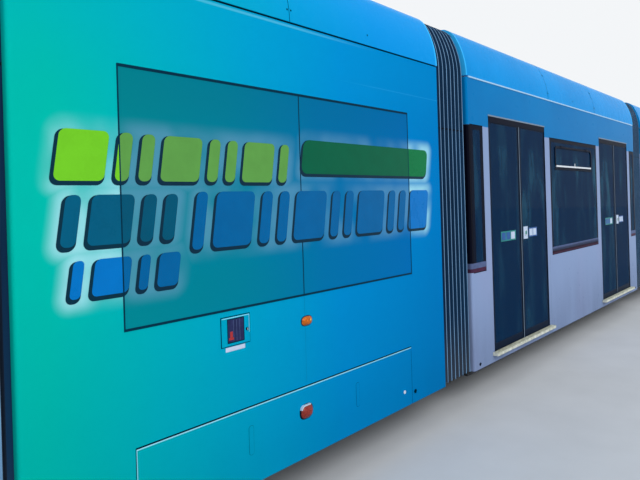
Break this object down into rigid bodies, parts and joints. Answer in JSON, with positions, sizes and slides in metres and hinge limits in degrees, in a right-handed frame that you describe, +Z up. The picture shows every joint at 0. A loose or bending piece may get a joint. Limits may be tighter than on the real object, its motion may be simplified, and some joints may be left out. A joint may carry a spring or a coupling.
{
  "type": "articulated tram",
  "caption": "Low-floor articulated tram with long door sections, short wheeled sections, bellows, a cab at each end and a folded pantograph.",
  "frame": {"origin": "middle of the tram's length and width, at the lowest point of the wheel flanges, 28 mm under the rail top", "axes": "+X along the tram towards section e, +Y across it, +Z up"},
  "size_m": [32.28, 2.754, 3.5161],
  "materials": {
    "centre_paint": "satin",
    "centre_roof_paint": "satin",
    "door_section_paint": "satin",
    "cab_section_paint": "satin",
    "lower_body": "satin",
    "roof_paint": "satin",
    "nose_paint": "gloss",
    "underframe": "matte",
    "roof_equipment": "matte",
    "tinted_glass": "gloss",
    "door_frame": "satin",
    "seat_fabric": "matte",
    "grab_pole": "satin",
    "bogie_steel": "matte",
    "wheel_steel": "satin",
    "bellows_fabric": "matte",
    "pantograph_paint": "satin",
    "contact_strip": "satin",
    "lamp_lens": "gloss"
  },
  "bodies": {
    "section_a": {"bogie_a": "bogie_steel", "lamps_a": "lamp_lens", "nose_a": "nose_paint", "roof_a": "roof_paint", "roof_units_a": "roof_equipment", "seats_a": "seat_fabric", "side_walls_a": "cab_section_paint", "skirt_flaps_a": "lower_body", "underframe_a": "underframe", "windows_a": "tinted_glass"},
    "section_b": {"doors_b": "door_frame", "grab_poles_b": "grab_pole", "roof_b": "roof_paint", "roof_units_b": "roof_equipment", "seats_b": "seat_fabric", "side_walls_b": "door_section_paint", "underframe_b": "underframe", "windows_b": "tinted_glass", "bellows_ab": "bellows_fabric"},
    "section_c": {"bogie_c": "bogie_steel", "lamps_c": "lamp_lens", "roof_c": "centre_roof_paint", "roof_units_c": "roof_equipment", "seats_c": "seat_fabric", "side_walls_c": "centre_paint", "skirt_flaps_c": "centre_paint", "underframe_c": "underframe", "windows_c": "tinted_glass", "bellows_bc": "bellows_fabric", "bellows_cd": "bellows_fabric"},
    "section_d": {"doors_d": "door_frame", "grab_poles_d": "grab_pole", "roof_d": "roof_paint", "roof_units_d": "roof_equipment", "seats_d": "seat_fabric", "side_walls_d": "door_section_paint", "underframe_d": "underframe", "windows_d": "tinted_glass", "bellows_de": "bellows_fabric"},
    "section_e": {"bogie_e": "bogie_steel", "lamps_e": "lamp_lens", "nose_e": "nose_paint", "roof_e": "roof_paint", "roof_units_e": "roof_equipment", "seats_e": "seat_fabric", "side_walls_e": "cab_section_paint", "skirt_flaps_e": "lower_body", "underframe_e": "underframe", "windows_e": "tinted_glass"},
    "wheelset_1": {"wheelset_1": "wheel_steel"},
    "wheelset_2": {"wheelset_2": "wheel_steel"},
    "wheelset_3": {"wheelset_3": "wheel_steel"},
    "wheelset_4": {"wheelset_4": "wheel_steel"},
    "wheelset_5": {"wheelset_5": "wheel_steel"},
    "wheelset_6": {"wheelset_6": "wheel_steel"},
    "pantograph_lower": {"pantograph_lower_arm": "pantograph_paint"},
    "pantograph_upper": {"pantograph_upper_arm": "pantograph_paint"},
    "pantograph_head": {"pantograph_head": "contact_strip"}
  },
  "joints": [
    {"name": "gangway_bc", "type": "hinge", "parent": "section_c", "child": "section_b", "pos_m": [-1.9375, 0, 0], "axis": [0, 0, 1], "range_deg": [-18, 18], "deforming": ["bellows_bc"]},
    {"name": "gangway_ab", "type": "hinge", "parent": "section_b", "child": "section_a", "pos_m": [-8.0925, 0, 0], "axis": [0, 0, 1], "range_deg": [-18, 18], "deforming": ["bellows_ab"]},
    {"name": "gangway_cd", "type": "hinge", "parent": "section_c", "child": "section_d", "pos_m": [1.9375, 0, 0], "axis": [0, 0, 1], "range_deg": [-18, 18], "deforming": ["bellows_cd"]},
    {"name": "gangway_de", "type": "hinge", "parent": "section_d", "child": "section_e", "pos_m": [8.0925, 0, 0], "axis": [0, 0, 1], "range_deg": [-18, 18], "deforming": ["bellows_de"]},
    {"name": "axle_1", "type": "hinge", "parent": "section_a", "child": "wheelset_1", "pos_m": [-12.145, 0, 0.353], "axis": [0, 1, 0], "continuous": true},
    {"name": "axle_2", "type": "hinge", "parent": "section_a", "child": "wheelset_2", "pos_m": [-10.345, 0, 0.353], "axis": [0, 1, 0], "continuous": true},
    {"name": "axle_3", "type": "hinge", "parent": "section_c", "child": "wheelset_3", "pos_m": [-0.9, 0, 0.353], "axis": [0, 1, 0], "continuous": true},
    {"name": "axle_4", "type": "hinge", "parent": "section_c", "child": "wheelset_4", "pos_m": [0.9, 0, 0.353], "axis": [0, 1, 0], "continuous": true},
    {"name": "axle_5", "type": "hinge", "parent": "section_e", "child": "wheelset_5", "pos_m": [10.345, 0, 0.353], "axis": [0, 1, 0], "continuous": true},
    {"name": "axle_6", "type": "hinge", "parent": "section_e", "child": "wheelset_6", "pos_m": [12.145, 0, 0.353], "axis": [0, 1, 0], "continuous": true},
    {"name": "pantograph_raise", "type": "hinge", "parent": "section_c", "child": "pantograph_lower", "pos_m": [0.5, 0, 3.215], "axis": [0, 1, 0], "range_deg": [0, 50]},
    {"name": "pantograph_knee", "type": "hinge", "parent": "pantograph_lower", "child": "pantograph_upper", "pos_m": [-0.74315, 0, 3.34566], "axis": [0, 1, 0], "range_deg": [-96, 0]},
    {"name": "pantograph_level", "type": "hinge", "parent": "pantograph_upper", "child": "pantograph_head", "pos_m": [0.605, 0, 3.41631], "axis": [0, 1, 0], "range_deg": [0, 46]}
  ],
  "couplings": [
    {"joint": "pantograph_knee", "follows": "pantograph_raise", "ratio": -1.9},
    {"joint": "pantograph_level", "follows": "pantograph_raise", "ratio": 0.9}
  ]
}
